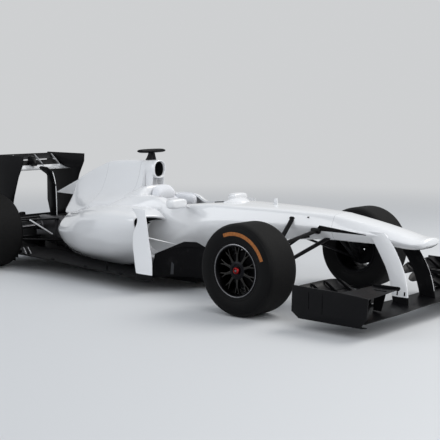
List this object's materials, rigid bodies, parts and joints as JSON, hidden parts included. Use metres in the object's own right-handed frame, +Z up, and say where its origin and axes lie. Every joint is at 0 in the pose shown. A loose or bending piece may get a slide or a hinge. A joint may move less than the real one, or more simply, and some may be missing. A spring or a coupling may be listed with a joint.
{
  "type": "open wheel racing car",
  "caption": "Single-seat open wheel racing car with front and rear wings, exposed suspension, hollow cockpit, steered front wheels, free rolling wheels and a hinged rear wing flap.",
  "frame": {"origin": "on the ground, at the centre of the car's bounding box", "axes": "+X forwards along the car, +Y to the left, +Z up"},
  "size_m": [4.6455, 1.8, 1.099],
  "materials": {
    "body_white": "gloss white lacquer over carbon composite",
    "wing_carbon": "black lacquered carbon composite",
    "floor_carbon": "satin carbon composite",
    "skid_block": "resin bonded wear plank",
    "suspension_carbon": "black carbon suspension arms",
    "cast_alloy": "cast and machined alloy",
    "upright_alloy": "machined uprights with dark brake ducts",
    "shaft_steel": "ground steel",
    "rim_alloy": "dark anodised forged alloy",
    "tyre_rubber": "slick racing tyre with coloured sidewall band",
    "padding": "foam head surround",
    "seat_shell": "carbon seat shell",
    "hand_wheel_grip": "carbon wheel with rubber grips"
  },
  "bodies": {
    "chassis": {"monocoque": "body_white", "nose_cone": "body_white", "nose_pylons": "body_white", "front_wing_main": "wing_carbon", "front_wing_flaps": "wing_carbon", "front_wing_endplates": "wing_carbon", "engine_cover": "body_white", "roll_hoop": "body_white", "sidepod_left": "body_white", "sidepod_right": "body_white", "side_vanes": "body_white", "floor": "floor_carbon", "plank": "skid_block", "diffuser": "floor_carbon", "bargeboards": "wing_carbon", "engine_block": "cast_alloy", "gearbox": "cast_alloy", "crash_structure": "floor_carbon", "rear_uprights": "upright_alloy", "rear_wishbones": "suspension_carbon", "front_wishbones": "suspension_carbon", "rear_wing_main": "wing_carbon", "rear_wing_endplates": "wing_carbon", "beam_wing": "wing_carbon", "headrest": "padding", "seat": "seat_shell", "mirrors": "body_white", "roll_hoop_camera": "wing_carbon", "pitot_mast": "body_white", "steering_column": "shaft_steel"},
    "front_upright_left": {"upright_front_left": "upright_alloy"},
    "front_wheel_left": {"rim_front_left": "rim_alloy", "tyre_front_left": "tyre_rubber"},
    "rear_wheel_left": {"rim_rear_left": "rim_alloy", "tyre_rear_left": "tyre_rubber", "driveshaft_left": "shaft_steel"},
    "front_upright_right": {"upright_front_right": "upright_alloy"},
    "front_wheel_right": {"rim_front_right": "rim_alloy", "tyre_front_right": "tyre_rubber"},
    "rear_wheel_right": {"rim_rear_right": "rim_alloy", "tyre_rear_right": "tyre_rubber", "driveshaft_right": "shaft_steel"},
    "steering_rack": {"track_rods": "suspension_carbon"},
    "hand_wheel": {"steering_wheel": "hand_wheel_grip"},
    "drag_flap": {"rear_wing_flap": "wing_carbon"}
  },
  "joints": [
    {"name": "steer_left", "type": "hinge", "parent": "chassis", "child": "front_upright_left", "pos_m": [1.2235, 0.66, 0.33], "axis": [0, 0, 1], "range_deg": [-15, 15]},
    {"name": "steer_right", "type": "hinge", "parent": "chassis", "child": "front_upright_right", "pos_m": [1.2235, -0.66, 0.33], "axis": [0, 0, 1], "range_deg": [-15, 15]},
    {"name": "front_wheel_spin_left", "type": "hinge", "parent": "front_upright_left", "child": "front_wheel_left", "pos_m": [1.2235, 0.74, 0.33], "axis": [0, 1, 0], "continuous": true},
    {"name": "rear_wheel_spin_left", "type": "hinge", "parent": "chassis", "child": "rear_wheel_left", "pos_m": [-1.8765, 0.715, 0.33], "axis": [0, 1, 0], "continuous": true},
    {"name": "front_wheel_spin_right", "type": "hinge", "parent": "front_upright_right", "child": "front_wheel_right", "pos_m": [1.2235, -0.74, 0.33], "axis": [0, 1, 0], "continuous": true},
    {"name": "rear_wheel_spin_right", "type": "hinge", "parent": "chassis", "child": "rear_wheel_right", "pos_m": [-1.8765, -0.715, 0.33], "axis": [0, 1, 0], "continuous": true},
    {"name": "rack_travel", "type": "slide", "parent": "chassis", "child": "steering_rack", "axis": [0, 1, 0], "range_m": [-0.024, 0.024]},
    {"name": "hand_wheel_turn", "type": "hinge", "parent": "chassis", "child": "hand_wheel", "pos_m": [0.4335, 0, 0.59], "axis": [-0.9063, 0, 0.4226], "range_deg": [-151, 151]},
    {"name": "flap_opening", "type": "hinge", "parent": "chassis", "child": "drag_flap", "pos_m": [-2.26334, 0, 0.98725], "axis": [0, -1, 0], "range_deg": [0, 22]}
  ],
  "couplings": [
    {"joint": "steer_right", "follows": "steer_left", "ratio": 1},
    {"joint": "rack_travel", "follows": "steer_left", "m_per_rad": 0.09},
    {"joint": "hand_wheel_turn", "follows": "steer_left", "ratio": 10}
  ]
}
